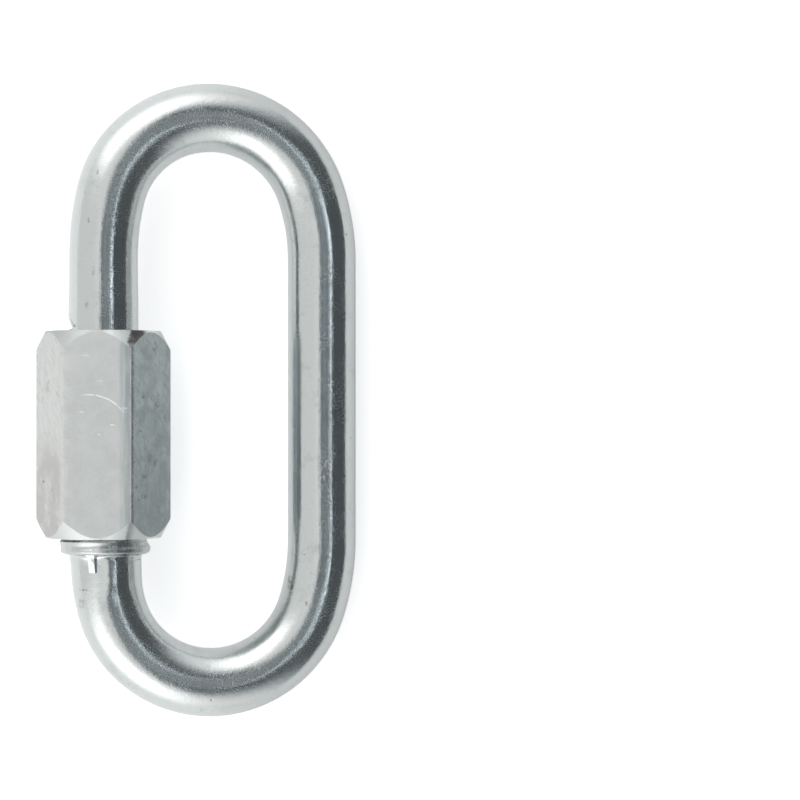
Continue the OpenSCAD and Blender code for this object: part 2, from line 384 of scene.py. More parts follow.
# The die marks on the bar. The forging dies left a blunt fin of flash that runs down from
# the collar, and bit a small flat nick out of the bar just above the upper thread, where
# they also raised a burr.
FIN_ANGLE = math.radians(18.5)
FIN_CUTS = 21
FIN_HIGH, FIN_LOW, FIN_FOOT = -17.6 * MM, -19.9 * MM, 3.6 * MM
FIN_LEFT, FIN_RIGHT, FIN_FLARE, FIN_LEAN = 0.60 * MM, 0.46 * MM, 0.75 * MM, 0.24 * MM
FIN_TOP, FIN_FALL = 4.78 * MM, 0.12 * MM
FACET_FROM, FACET_SLOPE = 1.25 * MM, 0.32
FIN_FLARE_TO = 0.35
NICK_ANGLE = math.radians(84)
NICK_LOW, NICK_HIGH, NICK_DEPTH, NICK_STEP = 8.46 * MM, 9.36 * MM, 0.66 * MM, 0.22 * MM
BURR_ANGLE, BURR_HALF = math.radians(88), math.radians(34)
BURR_RISE, BURR_TOP = 0.36 * MM, 8.5 * MM
CUTTER = 3 * MM


def cut_with(piece, tool, operation):
    """Joins a tool to a piece or cuts the piece with it, and takes the tool away."""
    bpy.ops.object.select_all(action="DESELECT")
    bpy.context.view_layer.objects.active = piece
    piece.select_set(True)
    join = piece.modifiers.new("join", "BOOLEAN")
    join.operation = operation
    join.solver = "EXACT"
    join.object = tool
    bpy.ops.object.modifier_apply(modifier=join.name)
    bpy.data.objects.remove(tool)


bpy.ops.object.select_all(action="DESELECT")
bpy.ops.mesh.primitive_cube_add(size=1, location=(0, 0, 0))
fin = bpy.context.object
bpy.ops.object.mode_set(mode="EDIT")
bpy.ops.mesh.select_all(action="SELECT")
bpy.ops.mesh.subdivide(number_cuts=FIN_CUTS)
bpy.ops.object.mode_set(mode="OBJECT")
for v in fin.data.vertices:
    side, down, lift = v.co.x * 2, 0.5 - v.co.y, v.co.z + 0.5
    flare = FIN_FLARE * (1 - ease(down, 0, FIN_FLARE_TO)) ** 2
    half_width = FIN_RIGHT if side > 0 else FIN_LEFT - FIN_LEAN * lift + flare
    past_facet = (FIN_HIGH - FIN_LOW) * down - FACET_FROM + FIN_RIGHT - side * half_width
    top = FIN_TOP - FIN_FALL * ease(down, 0, FIN_FLARE_TO) - FACET_SLOPE * max(past_facet, 0)
    v.co.x = side * half_width
    v.co.y = FIN_HIGH + (FIN_LOW - FIN_HIGH) * down
    v.co.z = FIN_FOOT + (top - FIN_FOOT) * lift
fin.data.transform(Matrix.Rotation(-FIN_ANGLE, 4, "Y"))
cut_with(bar, fin, "UNION")

for v in bar.data.vertices:
    off_burr = abs(math.atan2(-v.co.x, v.co.z) - BURR_ANGLE)
    r = math.hypot(v.co.x, v.co.z)
    if SHANK_START <= v.co.y < BURR_TOP and off_burr < BURR_HALF and v.co.x < SIDE_SPACING / 2:
        fall = (BURR_TOP - v.co.y) / (BURR_TOP - SHANK_START)
        rise = BURR_RISE * fall * (1 - ease(off_burr, 0, BURR_HALF))
        v.co.x, v.co.z = v.co.x * (r + rise) / r, v.co.z * (r + rise) / r
bpy.ops.object.select_all(action="DESELECT")
nick_slope = math.atan2(NICK_DEPTH - NICK_STEP, NICK_HIGH - NICK_LOW)
nick_length = (NICK_HIGH - NICK_LOW) / math.cos(nick_slope)
bpy.ops.mesh.primitive_cube_add(size=1, location=(0, nick_length / 2, CUTTER / 2),
                                scale=(2 * CUTTER, nick_length, CUTTER))
cutter = bpy.context.object
bpy.ops.object.transform_apply(location=True, rotation=True, scale=True)
cutter.data.transform(Matrix.Rotation(nick_slope, 4, "X"))
cutter.data.transform(Matrix.Translation((0, NICK_LOW, shank_r - NICK_DEPTH)))
cutter.data.transform(Matrix.Rotation(-NICK_ANGLE, 4, "Y"))
cut_with(bar, cutter, "DIFFERENCE")


# The bar's plating. Bright zinc over drawn steel: fine lines run along the bar from the
# drawing die, and the bows are duller and grainier where the bending stretched the skin.
GATE_MIDDLE = (UPPER_END + LOWER_END) / 2
BENT_FROM, BENT_FULL = 1 * MM, 11 * MM
BAR_ZINC = (0.612, 0.64, 0.64, 1)
BAR_STAIN = (0.45, 0.465, 0.465, 1)
MARK_GREY = (0.30, 0.30, 0.29, 1)
BITE_LEAST = 0.04 * MM
STRAIGHT_ROUGH, BOW_ROUGH, TURNED_ROUGH, FROST_ROUGH = 0.11, 0.19, 0.15, 0.34
quarter = straight_half + SHOULDER_R * SHOULDER_TURN + crown_r * (math.pi / 2 - SHOULDER_TURN)


def before_bending(x, y):
    """Where a point lay on the straight bar: how far along it, how far out from its middle, and
    how far the bar is bent there, from 0 on the straight sides to 1 in the bows."""
    far_side = x > SIDE_SPACING / 2
    upper = y > (0 if far_side else GATE_MIDDLE)
    out = abs(x - SIDE_SPACING / 2)
    up = y if upper else -y
    shoulder = math.atan2(up - straight_half, out - SIDE_SPACING / 2 + SHOULDER_R)
    if up <= straight_half:
        length, off = up, out - SIDE_SPACING / 2
    elif shoulder <= SHOULDER_TURN:
        length = straight_half + SHOULDER_R * shoulder
        off = math.hypot(up - straight_half, out - SIDE_SPACING / 2 + SHOULDER_R) - SHOULDER_R
    else:
        crown = math.atan2(up - straight_half - crown_lift, out)
        length = straight_half + SHOULDER_R * SHOULDER_TURN + crown_r * (crown - SHOULDER_TURN)
        off = math.hypot(up - straight_half - crown_lift, out) - crown_r
    bent = ease(length - straight_half, BENT_FROM, BENT_FULL)
    if far_side:
        length = 2 * quarter - length
    return length if upper else 4 * quarter - length, off, bent


for name, kind in (("bar_grain", "FLOAT_VECTOR"), ("bent_skin", "FLOAT"), ("turned_skin", "FLOAT")):
    bar.data.attributes.new(name, kind, "POINT")
bar.data.attributes.new("bite", "FLOAT", "FACE")
grain, bent_skin = bar.data.attributes["bar_grain"], bar.data.attributes["bent_skin"]
turned_skin, bite = bar.data.attributes["turned_skin"], bar.data.attributes["bite"]
for v in bar.data.vertices:
    length, off, bent = before_bending(v.co.x, v.co.y)
    on_gate_side = v.co.x < SIDE_SPACING / 2
    grain.data[v.index].vector = (off / MM, length / MM, v.co.z / MM)
    bent_skin.data[v.index].value = bent
    threaded = COLLAR_LOW < v.co.y < SHANK_START and on_gate_side
    turned_skin.data[v.index].value = 1.0 if threaded else 0.0
for face in bar.data.polygons:
    off_skin = abs(math.hypot(face.center.x, face.center.z) - shank_r)
    bitten = SHANK_START < face.center.y < NICK_HIGH and face.center.x < 0 and off_skin > BITE_LEAST
    bite.data[face.index].value = 1.0 if bitten else 0.0

bar_zinc, tree = new_paint("bar_zinc")
place = add_node(tree, "Attribute", attribute_name="bar_grain").outputs["Vector"]
bent = add_node(tree, "Attribute", attribute_name="bent_skin").outputs["Fac"]
turned_part = add_node(tree, "Attribute", attribute_name="turned_skin").outputs["Fac"]
bitten = add_node(tree, "Attribute", attribute_name="bite").outputs["Fac"]
frame_mm = add_node(tree, "Mapping", {"Vector": add_node(tree, "TexCoord").outputs["Object"],
                                      "Scale": (1 / MM, 1 / MM, 1 / MM)}).outputs[0]
mark_x, mark_y, mark_z = add_node(tree, "SeparateXYZ", {0: frame_mm}).outputs


def noise(tree, where, per_mm=1.0, detail=2.0, rough=0.5, stretch=(1, 1, 1)):
    """A cloudy pattern from 0 to 1, with about so many clouds to a millimetre, times the stretch."""
    stretched = add_node(tree, "Mapping", {"Vector": where, "Scale": stretch}).outputs[0]
    sockets = {"Vector": stretched, "Scale": per_mm, "Detail": detail, "Roughness": rough}
    return add_node(tree, "TexNoise", sockets).outputs[0]


# Dents and smudges on the side that lies up: (x, y, half width, half length, how dark), in mm
MARKS = ((11.0, -21.3, 0.45, 1.0, 0.8), (-12.8, -21.9, 0.7, 0.14, 0.9), (12.9, -23.6, 0.2, 0.35, 0.7),
         (-11.1, 26.3, 0.2, 0.45, 0.8), (-12.3, 10.9, 0.3, 0.6, 0.45), (-12.1, 20.7, 0.2, 0.4, 0.6),
         (-13.0, -23.5, 0.5, 0.8, 0.45), (-11.5, 14.8, 0.25, 0.7, 0.35), (5.2, -33.0, 0.5, 0.2, 0.5))
# Pairs here and below are where a finish starts and is full, with both levels if they aren't 0 and 1.
MARKS_ABOVE, MARKS_BROKEN, MARKS_BROKEN_PER_MM = (3.0, 4.5), (0.3, 0.55), 2.5
marks = 0.0
for middle_x, middle_y, half_x, half_y, dark in MARKS:
    mark = scaled(tree, near(tree, mark_x, middle_x, half_x), near(tree, mark_y, middle_y, half_y), dark)
    marks = calc(tree, "MAXIMUM", mark, marks)
marks = scaled(tree, marks, ramp(tree, mark_z, *MARKS_ABOVE),
               ramp(tree, noise(tree, place, MARKS_BROKEN_PER_MM, detail=3.0), *MARKS_BROKEN))

# The skin's relief, in mm: an even peel, dimples, slow waves, and lines from drawing and turning
PEEL_HIGH, DIMPLES_HIGH, WAVES_HIGH, LINES_HIGH, TURNING_HIGH = 0.008, 0.011, 0.03, 0.010, 0.012
PEEL_PER_MM, DIMPLES_PER_MM, WAVES_PER_MM = 5.5, 1.7, 0.28
WAVES_STRETCH, LINES_STRETCH, TURNING_STRETCH = (1, 0.5, 1), (3.0, 0.05, 3.0), (0.1, 7.0, 0.1)
straight = calc(tree, "SUBTRACT", 1.0, bent)
peel = noise(tree, place, PEEL_PER_MM, detail=2.0, rough=0.6)
dimples = noise(tree, place, DIMPLES_PER_MM, detail=1.0)
drawn_lines = noise(tree, place, detail=3.0, rough=0.6, stretch=LINES_STRETCH)
waves = noise(tree, place, WAVES_PER_MM, detail=1.0, stretch=WAVES_STRETCH)
turning = noise(tree, place, detail=3.0, rough=0.7, stretch=TURNING_STRETCH)

# Frost that grew in the plating, in patches, and one scuff on the plain side, placed in mm
FROST_HIGH, FROST_PER_MM, FROST_PATCHES_PER_MM = 0.003, 8.0, 0.3
FROST_SHOWS, FROST_PATCHES, FROST_IN_BENDS = (0.54, 0.68), (0.4, 0.62, 0.3, 0.95), (0.0, 0.8, 0.8, 1.0)
SCUFF_X, SCUFF_Y, SCUFF_HALF_WIDTH, SCUFF_HALF_LENGTH = 15.0, -8.4, 1.0, 2.6
SCUFF_PER_MM, SCUFF_STRETCH, SCUFF_BROKEN = 2.5, (1, 0.6, 1), (0.5, 0.6)
frost = ramp(tree, noise(tree, place, FROST_PER_MM, detail=2.0, rough=0.6), *FROST_SHOWS)
frost_patches = ramp(tree, noise(tree, place, FROST_PATCHES_PER_MM, detail=2.0), *FROST_PATCHES)
frost = scaled(tree, frost, frost_patches, ramp(tree, bent, *FROST_IN_BENDS))
scuff_grain = noise(tree, place, SCUFF_PER_MM, detail=3.0, rough=0.7, stretch=SCUFF_STRETCH)
scuff = scaled(tree, near(tree, mark_x, SCUFF_X, SCUFF_HALF_WIDTH),
               near(tree, mark_y, SCUFF_Y, SCUFF_HALF_LENGTH), ramp(tree, scuff_grain, *SCUFF_BROKEN))

# Small pits and faint stains, the thread's duller zinc, and the nick and the burr darkened to grey
PIT_DEPTH, PITS_PER_MM, PIT_PATCHES_PER_MM = 0.02, 0.55, 0.2
PIT_SHOWS, PIT_PATCHES = (0.05, 0.12, 1.0, 0.0), (0.5, 0.62)
STAIN_PER_MM, STAIN_SHOWS = 0.35, (0.52, 0.75)
STAIN_SHARE, TURNED_STAIN, BITE_DARK = 0.5, 0.35, 0.75
LINES_ROUGH = (0.4, 0.75, 0.0, 0.05)
cells = add_node(tree, "TexVoronoi", {"Vector": place, "Scale": PITS_PER_MM, "Randomness": 1.0})
pit = scaled(tree, ramp(tree, cells.outputs["Distance"], *PIT_SHOWS),
             ramp(tree, noise(tree, place, PIT_PATCHES_PER_MM), *PIT_PATCHES))
height = total(tree, scaled(tree, peel, PEEL_HIGH), scaled(tree, dimples, DIMPLES_HIGH),
               scaled(tree, drawn_lines, straight, LINES_HIGH), scaled(tree, waves, WAVES_HIGH),
               scaled(tree, pit, -PIT_DEPTH), scaled(tree, frost, FROST_HIGH),
               scaled(tree, turning, turned_part, TURNING_HIGH))
bump = add_node(tree, "Bump", {"Height": height, "Distance": MM, "Strength": 1.0}).outputs[0]
stain = ramp(tree, noise(tree, place, STAIN_PER_MM, detail=4.0, rough=0.65), *STAIN_SHOWS)
stain = calc(tree, "MAXIMUM", scaled(tree, stain, STAIN_SHARE), pit)
stain = calc(tree, "MAXIMUM", stain, scaled(tree, turned_part, TURNED_STAIN))
colour = blend(tree, stain, BAR_ZINC, BAR_STAIN)
colour = blend(tree, calc(tree, "MAXIMUM", marks, scaled(tree, bitten, BITE_DARK)), colour, MARK_GREY)
roughness = total(tree, ramp(tree, bent, 0.0, 1.0, STRAIGHT_ROUGH, BOW_ROUGH),
                  scaled(tree, calc(tree, "MAXIMUM", frost, scuff), FROST_ROUGH),
                  scaled(tree, turned_part, TURNED_ROUGH), ramp(tree, drawn_lines, *LINES_ROUGH))
shader = add_node(tree, "BsdfPrincipled", {
    "Base Color": colour, "Metallic": 1.0, "Roughness": roughness, "Normal": bump})
add_node(tree, "OutputMaterial", {"Surface": shader.outputs[0]})
bar.data.materials.clear()
bar.data.materials.append(bar_zinc)

# The bending left both bows a little to the gate's side of the middle.
UPPER_BOW_OFF, LOWER_BOW_OFF = 0.38 * MM, 0.23 * MM
for v in bar.data.vertices:
    bow_off = UPPER_BOW_OFF if v.co.y > 0 else LOWER_BOW_OFF
    v.co.x -= bow_off * ease(abs(v.co.y), straight_half, HALF_LENGTH)

# It lies on the nut's lower flat and on its plain side, so it leans.
BAR_SMOOTH_BELOW = math.radians(40)
lean = math.asin((nut_axis_z - BAR_R) / SIDE_SPACING)
bar.data.transform(Matrix.Translation((nut_axis_x, 0, nut_axis_z)) @ Matrix.Rotation(lean, 4, "Y"))
bpy.ops.object.select_all(action="DESELECT")
bpy.context.view_layer.objects.active = bar
bar.select_set(True)
bpy.ops.object.shade_smooth_by_angle(angle=BAR_SMOOTH_BELOW)
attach(bar, "link")
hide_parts("link_body")


# The nut. One long sleeve nut, cut from hexagon steel bar with soft corners, turned to a
# cone at both ends, bored and tapped right through, and zinc plated to a dull satin.
NUT_LOW, NUT_HIGH = nut_low_corner[1], nut_high_corner[1]
FLAT_R = nut_axis_z
SIDES = 6
CORNER_CUTS = 31
SOFT_EDGE, SOFT_DROP, SIDE_DROP = 1.15 * MM, 0.065 * MM, 0.01 * MM
CONE, CONE_END_R, CONE_CORNER_R = 2.2 * MM, 6.69 * MM, 7.83 * MM
EDGE_BREAK, EDGE_BREAK_STEPS, EDGE_BREAK_ABOVE = 0.05 * MM, 2, math.radians(14)
NUT_SMOOTH_BELOW = math.radians(12)
TAP_PLAY = 0.1 * MM
MOUTH_R = 5.5 * MM
side_turn = 2 * math.pi / SIDES
flat_width = 2 * FLAT_R * math.tan(side_turn / 2)

bpy.ops.object.select_all(action="DESELECT")
bpy.ops.mesh.primitive_circle_add(vertices=SIDES, radius=FLAT_R / math.cos(side_turn / 2),
                                  fill_type="NGON", location=(0, NUT_LOW, 0),
                                  rotation=(math.pi / 2, side_turn / 2, 0))
nut = bpy.context.object
nut.name = "sleeve_nut"
bpy.ops.object.transform_apply(location=True, rotation=True, scale=True)
bpy.ops.object.mode_set(mode="EDIT")
bpy.ops.mesh.select_all(action="SELECT")
bpy.ops.mesh.subdivide(number_cuts=CORNER_CUTS)
bpy.ops.object.mode_set(mode="OBJECT")
for v in nut.data.vertices:
    turn = math.atan2(v.co.x, v.co.z)
    face_turn = round(turn / side_turn) * side_turn
    to_corner = flat_width / 2 - math.hypot(v.co.x, v.co.z) * abs(math.sin(turn - face_turn))
    corner_drop = SOFT_DROP if abs(v.co.z) > FLAT_R / 2 else SIDE_DROP
    drop = corner_drop * max(1 - to_corner / SOFT_EDGE, 0) ** 2
    v.co.x -= drop * math.sin(turn)
    v.co.z -= drop * math.cos(turn)
bpy.ops.object.mode_set(mode="EDIT")
bpy.ops.mesh.select_mode(type="FACE")
bpy.ops.mesh.select_all(action="SELECT")
bpy.ops.mesh.extrude_region_move(TRANSFORM_OT_translate={"value": (0, NUT_HIGH - NUT_LOW, 0)})
bpy.ops.mesh.select_all(action="SELECT")
bpy.ops.mesh.normals_make_consistent(inside=False)
bpy.ops.object.mode_set(mode="OBJECT")


def turned(stations):
    """A solid turned on the nut's axis, through each (y, radius) station."""
    bpy.ops.object.select_all(action="DESELECT")
    bpy.ops.mesh.primitive_circle_add(vertices=ROUND, radius=stations[0][1], fill_type="NGON",
                                      location=(0, stations[0][0], 0), rotation=(math.pi / 2, 0, 0))
    piece = bpy.context.object
    bpy.ops.object.transform_apply(location=True, rotation=True, scale=True)
    bpy.ops.object.mode_set(mode="EDIT")
    bpy.ops.mesh.select_mode(type="EDGE")
    bpy.ops.mesh.select_all(action="SELECT")
    bpy.ops.mesh.region_to_loop()
    draw_out(stations)
    bpy.ops.mesh.edge_face_add()
    bpy.ops.mesh.select_all(action="SELECT")
    bpy.ops.mesh.normals_make_consistent(inside=False)
    bpy.ops.object.mode_set(mode="OBJECT")
    return piece


cones = turned([(NUT_LOW, CONE_END_R), (NUT_LOW + CONE, CONE_CORNER_R), (NUT_HIGH - CONE, CONE_CORNER_R),
                (NUT_HIGH, CONE_END_R)])
cut_with(nut, cones, "INTERSECT")
broken_edges = nut.modifiers.new("broken_edges", "BEVEL")
broken_edges.width = EDGE_BREAK
broken_edges.segments = EDGE_BREAK_STEPS
broken_edges.limit_method = "ANGLE"
broken_edges.angle_limit = EDGE_BREAK_ABOVE
bpy.ops.object.modifier_apply(modifier=broken_edges.name)

tap_r = CREST_R + TAP_PLAY
tap_low, tap_high = NUT_LOW - PITCH / 2, NUT_HIGH + PITCH / 2
tap = turned([(tap_low, tap_r)] + even_rings(tap_low, tap_high, tap_r))
for v in tap.data.vertices:
    x, y, z = v.co
    r = math.hypot(x, z)
    mouth = MOUTH_R - min(y - NUT_LOW, NUT_HIGH - y)
    new_r = max(tap_r - THREAD_DEPTH * groove_cut(x, y, z), mouth)
    v.co.x, v.co.z = x * new_r / r, z * new_r / r
cut_with(nut, tap, "DIFFERENCE")
bpy.ops.object.mode_set(mode="EDIT")
bpy.ops.mesh.select_all(action="SELECT")
bpy.ops.mesh.remove_doubles(threshold=SAME_POINT)
bpy.ops.object.mode_set(mode="OBJECT")
nut.data.transform(Matrix.Translation((nut_axis_x, 0, nut_axis_z)))
bpy.ops.object.select_all(action="DESELECT")
bpy.context.view_layer.objects.active = nut
nut.select_set(True)
bpy.ops.object.shade_smooth_by_angle(angle=NUT_SMOOTH_BELOW)


# The nut's plating. Dull zinc with turned satin cones. The flats that lie up and down are painted
# lighter and the right flat a cooler blue-grey, as painted light and shade. The upper flat is
# scratched, and the left and right flats are pitted and stained.
LEFT_ZINC = (0.645, 0.655, 0.65, 1)
# Painted shade: the right flat's cooler blue-grey, clouded from pale to dark
RIGHT_SHADE_PALE, RIGHT_SHADE_DARK = (0.70, 0.77, 0.775, 1), (0.49, 0.545, 0.55, 1)
# Painted light: the flats that lie up and down are lighter than the side flats
LIT_FLAT_ZINC, LIT_FLAT_DULL = (0.73, 0.745, 0.74, 1), (0.665, 0.68, 0.675, 1)
# Painted light and shade on the cones: the lower one lighter, the upper one darker
UPPER_CONE_SHADE, LOWER_CONE_LIT = (0.45, 0.47, 0.47, 1), (0.60, 0.625, 0.62, 1)
# Painted highlight on the cones' right side and along the nut's end rims
CONE_HIGHLIGHT = (0.925, 0.95, 0.94, 1)
NUT_STAIN = (0.50, 0.495, 0.485, 1)
# Pits, and painted shade beside the upper flat's right edge
PIT_AND_SHADE_GREY = (0.26, 0.26, 0.27, 1)
# Painted reflection of the dark room at the cones' right-hand corner, streaked by the turning
CONE_DARK_REFLECTION = (0.165, 0.155, 0.155, 1)
# Scratches, and a painted highlight along the upper flat's right edge
SCRATCH_AND_HIGHLIGHT_WHITE = (0.98, 0.98, 0.97, 1)
FLAT_ROUGH, EDGE_ROUGH, TURNED_END_ROUGH = 0.56, 0.42, 0.45
FACING_UP, FACING_END, RIM_LEAST, RIM_MOST = 0.95, 0.2, 0.55, 0.97
# end_rim marks the faces round each end's rim, which get a painted highlight
for name in ("up_down_flat", "turned", "right_hand", "end_rim"):
    nut.data.attributes.new(name, "FLOAT", "FACE")
up_down_faces, turned_faces = nut.data.attributes["up_down_flat"], nut.data.attributes["turned"]
right_faces, rim_faces = nut.data.attributes["right_hand"], nut.data.attributes["end_rim"]
for face in nut.data.polygons:
    outside = math.hypot(face.center.x - nut_axis_x, face.center.z - nut_axis_z) > MOUTH_R
    end_facing = abs(face.normal.y)
    up_down_faces.data[face.index].value = 1.0 if outside and abs(face.normal.z) > FACING_UP else 0.0
    turned_faces.data[face.index].value = 1.0 if not outside or end_facing > FACING_END else 0.0
    right_faces.data[face.index].value = 1.0 if face.normal.x > 0 else 0.0
    rim_faces.data[face.index].value = 1.0 if outside and RIM_LEAST < end_facing < RIM_MOST else 0.0

nut_zinc, tree = new_paint("nut_zinc")
spot = add_node(tree, "Mapping", {"Vector": add_node(tree, "TexCoord").outputs["Object"],
                                  "Location": (-nut_axis_x / MM, 0, -nut_axis_z / MM),
                                  "Scale": (1 / MM, 1 / MM, 1 / MM)}).outputs[0]
across, up_nut, above = add_node(tree, "SeparateXYZ", {0: spot}).outputs
up_down_flat = add_node(tree, "Attribute", attribute_name="up_down_flat").outputs["Fac"]
turned_end = add_node(tree, "Attribute", attribute_name="turned").outputs["Fac"]
right_hand = add_node(tree, "Attribute", attribute_name="right_hand").outputs["Fac"]
end_rim = add_node(tree, "Attribute", attribute_name="end_rim").outputs["Fac"]
side_flats = calc(tree, "SUBTRACT", calc(tree, "SUBTRACT", 1.0, up_down_flat), turned_end, clamp=True)

# The zinc's patterns: clouds of several sizes, and streaks along the nut, brushed aslant and turned
SATIN_PER_MM, FINE_PER_MM, UNEVEN_PER_MM, MOTTLE_PER_MM = 3.0, 7.0, 0.45, 0.5
STREAKS_STRETCH, END_TURNING_STRETCH = (2.2, 0.16, 2.2), (0.05, 9.0, 0.05)
BRUSHED_SLANT, BRUSHED_STRETCH = math.radians(-28), (5.0, 0.3, 1.0)
satin = noise(tree, spot, SATIN_PER_MM, detail=3.0)
grain_fine = noise(tree, spot, FINE_PER_MM, detail=2.0, rough=0.6)
uneven = noise(tree, spot, UNEVEN_PER_MM, detail=2.0)
mottle = noise(tree, spot, MOTTLE_PER_MM, detail=5.0, rough=0.65)
streaks = noise(tree, spot, detail=4.0, rough=0.6, stretch=STREAKS_STRETCH)
slanted = add_node(tree, "Mapping", {"Vector": spot, "Rotation": (0, 0, BRUSHED_SLANT)}).outputs[0]
brushed = noise(tree, slanted, detail=3.0, rough=0.6, stretch=BRUSHED_STRETCH)
turning = noise(tree, spot, detail=3.0, rough=0.7, stretch=END_TURNING_STRETCH)

# On the upper flat, one long curved scratch that ends in a bruise, and a few short ones:
# (middle across, middle along, half length), in mm
SHORT_SCRATCHES = ((0.3, 2.17, 0.42), (-1.82, -1.37, 0.36), (1.75, -2.85, 0.4), (-1.35, 5.1, 0.5),
                   (0.25, -3.95, 0.3))
SCRATCH_ARC_R, SCRATCH_ARC_X, SCRATCH_ARC_Y = 5.0, -1.0, -4.4
SCRATCH_HALF_WIDTH, SHORT_HALF_WIDTH = 0.12, 0.09
SCRATCH_MIDDLE, SCRATCH_REACH, SCRATCH_ABOVE = 0.7, 3.0, (-2.5, -1.5)
SCRATCH_BROKEN_PER_MM, SCRATCH_BROKEN = 2.2, (0.32, 0.55)
BRUISE_X, BRUISE_Y, BRUISE_HALF_WIDTH, BRUISE_HALF_LENGTH = 3.1, -1.15, 0.5, 0.42
BRUISE_PER_MM, BRUISE_BROKEN = 2.0, (0.35, 0.65, 0.0, 0.8)
UPPER_FLAT = (6, 6.5)
from_arc = distance(tree, across, up_nut, SCRATCH_ARC_X, SCRATCH_ARC_Y)
scratch = scaled(tree, near(tree, from_arc, SCRATCH_ARC_R, SCRATCH_HALF_WIDTH),
                 near(tree, across, SCRATCH_MIDDLE, SCRATCH_REACH), ramp(tree, up_nut, *SCRATCH_ABOVE))
for middle_x, middle_y, half_length in SHORT_SCRATCHES:
    dash = scaled(tree, near(tree, across, middle_x, half_length),
                  near(tree, up_nut, middle_y, SHORT_HALF_WIDTH))
    scratch = calc(tree, "MAXIMUM", scratch, dash)
broken = ramp(tree, noise(tree, spot, SCRATCH_BROKEN_PER_MM, detail=3.0), *SCRATCH_BROKEN)
scratch = scaled(tree, scratch, broken)
bruise = scaled(tree, near(tree, across, BRUISE_X, BRUISE_HALF_WIDTH),
                near(tree, up_nut, BRUISE_Y, BRUISE_HALF_LENGTH),
                ramp(tree, noise(tree, spot, BRUISE_PER_MM, detail=4.0), *BRUISE_BROKEN))
scratch = scaled(tree, calc(tree, "MAXIMUM", scratch, bruise), up_down_flat, ramp(tree, above, *UPPER_FLAT))

# Pits and knocks on the side flats: (across, along, half width, half length, how dark), in mm
KNOCKS = ((-6.05, 1.6, 0.3, 0.9, 0.35), (-6.7, -9.45, 0.2, 0.2, 0.9), (-5.85, -13.1, 0.2, 0.2, 0.8),
          (-6.9, 0.0, 0.2, 0.5, 0.25), (6.2, 5.8, 0.22, 0.25, 0.6), (5.13, 0.3, 0.3, 0.25, 0.6),
          (6.45, -0.6, 0.3, 0.45, 0.5), (4.8, -3.6, 0.22, 0.22, 0.6), (5.75, -6.7, 0.22, 0.6, 0.5),
          (6.3, -7.3, 0.22, 0.4, 0.6), (5.2, -8.8, 0.4, 0.3, 0.6), (4.35, -9.9, 0.25, 0.3, 0.6),
          (5.2, -11.1, 0.45, 0.3, 0.6), (4.7, -11.4, 0.2, 0.3, 0.5), (6.6, -12.6, 0.25, 0.6, 0.3))
NUT_PITS_PER_MM, NUT_PIT_PATCHES_PER_MM = 1.15, 0.55
NUT_PIT_SHOWS, NUT_PIT_PATCHES = (0.06, 0.2, 0.8, 0.0), (0.52, 0.66)
KNOCK_BROKEN, UPPER_HALF = (0.35, 0.55), (-0.5, 0.5)
cells = add_node(tree, "TexVoronoi", {"Vector": spot, "Scale": NUT_PITS_PER_MM, "Randomness": 1.0})
pits = scaled(tree, ramp(tree, cells.outputs["Distance"], *NUT_PIT_SHOWS),
              ramp(tree, noise(tree, spot, NUT_PIT_PATCHES_PER_MM, detail=2.0), *NUT_PIT_PATCHES))
for middle_x, middle_y, half_x, half_y, dark in KNOCKS:
    knock = scaled(tree, near(tree, across, middle_x, half_x), near(tree, up_nut, middle_y, half_y), dark)
    knock = scaled(tree, knock, ramp(tree, satin, *KNOCK_BROKEN), ramp(tree, above, *UPPER_HALF))
    pits = calc(tree, "MAXIMUM", pits, knock)
pits = scaled(tree, pits, side_flats)

# A warm grey stain low on the left flat, and streaks on both side flats
STAIN_LEFT_OF, STAIN_BELOW = (-4.6, -3.9, 1.0, 0.0), (-7.5, -3.0, 1.0, 0.0)
NUT_STAIN_PER_MM, NUT_STAIN_SHOWS, NUT_STAIN_SHARE = 0.45, (0.26, 0.6), 0.9
STREAKS_SHOW, BRUSHED_SHOWS = (0.5, 0.8, 0.0, 0.7), (0.48, 0.74, 0.0, 0.8)
stain_cloud = noise(tree, spot, NUT_STAIN_PER_MM, detail=5.0, rough=0.6)
stained = scaled(tree, ramp(tree, across, *STAIN_LEFT_OF), ramp(tree, up_nut, *STAIN_BELOW),
                 ramp(tree, stain_cloud, *NUT_STAIN_SHOWS), NUT_STAIN_SHARE)
stained = calc(tree, "MAXIMUM", stained, ramp(tree, streaks, *STREAKS_SHOW))
stained = calc(tree, "MAXIMUM", stained, ramp(tree, brushed, *BRUSHED_SHOWS))
stained = scaled(tree, stained, side_flats)

# On the cones, a painted highlight on the right, and a painted reflection of the dark room at their
# corner there. Places are mm along the nut, and angles round it from its upper flat.
DARK_REFLECTION_STARTS, DARK_REFLECTION_ENDS = (6.6, 8.0, 0.53, 0.63), (4.0, 5.0, 0.58, 0.88)
DARK_REFLECTION_START_SOFT, DARK_REFLECTION_END_SOFT, DARK_REFLECTION_RAGGED = (-0.01, 0.05), (-0.08, 0.08, 1.0, 0.0), 0.12
DARK_REFLECTION_ALONG, DARK_REFLECTION_BROKEN = (6.2, 6.8, 0.6, 1.0), (0.3, 0.5, 0.75, 1.0)
HIGHLIGHT_FROM = (math.radians(2), math.radians(14))
HIGHLIGHT_TO = (math.radians(60), math.radians(80), 1.0, 0.45)
round_nut = calc(tree, "ARCTAN2", across, above)
past_start = total(tree, round_nut, scaled(tree, turning, DARK_REFLECTION_RAGGED),
                   scaled(tree, ramp(tree, up_nut, *DARK_REFLECTION_STARTS), -1.0))
past_end = calc(tree, "SUBTRACT", round_nut, ramp(tree, up_nut, *DARK_REFLECTION_ENDS))
